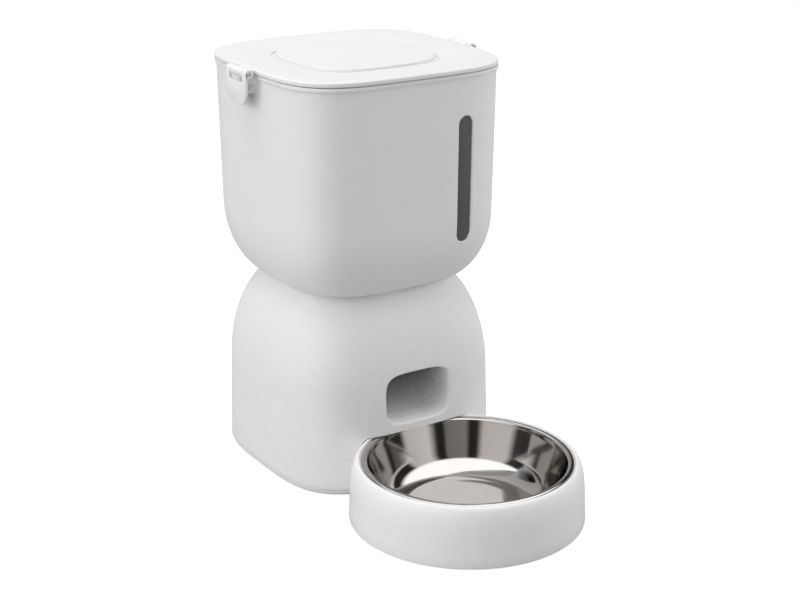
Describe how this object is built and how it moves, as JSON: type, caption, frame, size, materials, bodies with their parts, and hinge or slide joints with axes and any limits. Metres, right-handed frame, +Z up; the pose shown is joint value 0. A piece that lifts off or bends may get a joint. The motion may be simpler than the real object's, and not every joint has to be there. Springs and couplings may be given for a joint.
{
  "type": "automatic pet feeder",
  "caption": "Square two-part tower with a lift-off food hopper, latched lid, motor-driven paddle rotor and front chute over a round steel bowl in a docked stand.",
  "frame": {"origin": "on the floor under the centre of the square tower, in the plane of its rubber feet", "axes": "+Z up, front with the chute and the bowl to -Y, +X to the right as seen from the front"},
  "size_m": [0.1958, 0.3245, 0.3106],
  "materials": {
    "smooth_shell": "smooth matte moulded ABS, warm-neutral white",
    "textured_shell": "fine spark-eroded grain on white ABS",
    "stand_gloss": "semi-gloss white plastic",
    "inner_plastic": "plain moulded ABS",
    "rotor_plastic": "grey moulded plastic",
    "gear_plastic": "natural acetal",
    "smoked_window": "smoked clear plastic over the dark hopper inside",
    "polished_steel": "mirror-polished stainless steel",
    "screw_steel": "plated steel",
    "foot_rubber": "soft anti-slip rubber",
    "seal_rubber": "translucent silicone",
    "cell_jacket": "plain wrapped cell",
    "board_laminate": "green solder mask",
    "board_chips": "black moulded packages",
    "wire_jacket": "PVC lead",
    "lens_clear": "milky light pipe"
  },
  "bodies": {
    "base": {"base_shell": "textured_shell", "bottom_cover": "textured_shell", "tower_feet": "foot_rubber", "cover_screws": "screw_steel", "rotor_housing": "inner_plastic", "outlet_baffle": "inner_plastic", "chute_duct": "textured_shell", "gearbox_tray": "inner_plastic", "gearbox_lid": "inner_plastic", "gearbox_screws": "screw_steel", "idler_axle": "screw_steel", "shaft_bush": "gear_plastic", "motor_can": "screw_steel", "battery_box": "inner_plastic", "battery_cells": "cell_jacket", "battery_contacts": "screw_steel", "control_board": "board_laminate", "board_parts": "board_chips", "wiring": "wire_jacket", "usb_port": "screw_steel", "status_lens": "lens_clear"},
    "battery_door": {"battery_door": "textured_shell"},
    "feed_button": {"feed_button": "smooth_shell"},
    "pinion": {"motor_shaft": "screw_steel", "motor_pinion": "gear_plastic"},
    "idler": {"idler_gear": "gear_plastic"},
    "rotor": {"output_gear": "gear_plastic", "paddle_rotor": "rotor_plastic", "rotor_cap": "rotor_plastic"},
    "hopper": {"hopper_shell": "smooth_shell", "hopper_funnel": "inner_plastic", "window_lens": "smoked_window"},
    "lid": {"lid_shell": "smooth_shell", "lid_seal": "seal_rubber", "desiccant_box": "inner_plastic", "latch_pins": "screw_steel"},
    "desiccant_cap": {"desiccant_cap": "inner_plastic"},
    "latch_left": {"latch_left": "smooth_shell"},
    "latch_right": {"latch_right": "smooth_shell"},
    "bowl_stand": {"bowl_stand": "stand_gloss", "stand_feet": "foot_rubber", "steel_bowl": "polished_steel"}
  },
  "joints": [
    {"name": "rotor_spin", "type": "hinge", "parent": "base", "child": "rotor", "pos_m": [0, 0, 0.1], "axis": [0, 0, 1], "continuous": true},
    {"name": "idler_spin", "type": "hinge", "parent": "base", "child": "idler", "pos_m": [0, 0.026, 0.088], "axis": [0, 0, 1], "continuous": true},
    {"name": "pinion_spin", "type": "hinge", "parent": "base", "child": "pinion", "pos_m": [0.024, 0.026, 0.084], "axis": [0, 0, 1], "continuous": true},
    {"name": "hopper_lift", "type": "slide", "parent": "base", "child": "hopper", "axis": [0, 0, 1], "range_m": [0, 0.08]},
    {"name": "lid_lift", "type": "slide", "parent": "hopper", "child": "lid", "axis": [0, 0, 1], "range_m": [0, 0.12]},
    {"name": "latch_left_swing", "type": "hinge", "parent": "lid", "child": "latch_left", "pos_m": [-0.0946, 0, 0.3073], "axis": [0, 1, 0], "range_deg": [0, 110]},
    {"name": "latch_right_swing", "type": "hinge", "parent": "lid", "child": "latch_right", "pos_m": [0.0946, 0, 0.3073], "axis": [0, -1, 0], "range_deg": [0, 110]},
    {"name": "desiccant_cap_turn", "type": "hinge", "parent": "lid", "child": "desiccant_cap", "pos_m": [0, 0, 0.288], "axis": [0, 0, 1], "range_deg": [0, 25]},
    {"name": "feed_button_press", "type": "slide", "parent": "base", "child": "feed_button", "axis": [0, -1, 0], "range_m": [0, 0.0015], "stiffness_N_per_m": 300},
    {"name": "battery_door_slide", "type": "slide", "parent": "base", "child": "battery_door", "axis": [0, 1, 0], "range_m": [0, 0.11]},
    {"name": "bowl_stand_slide", "type": "slide", "parent": "base", "child": "bowl_stand", "axis": [0, -1, 0], "range_m": [0, 0.08]}
  ],
  "couplings": [
    {"joint": "idler_spin", "follows": "rotor_spin", "ratio": -3.3333},
    {"joint": "pinion_spin", "follows": "rotor_spin", "ratio": 10}
  ]
}
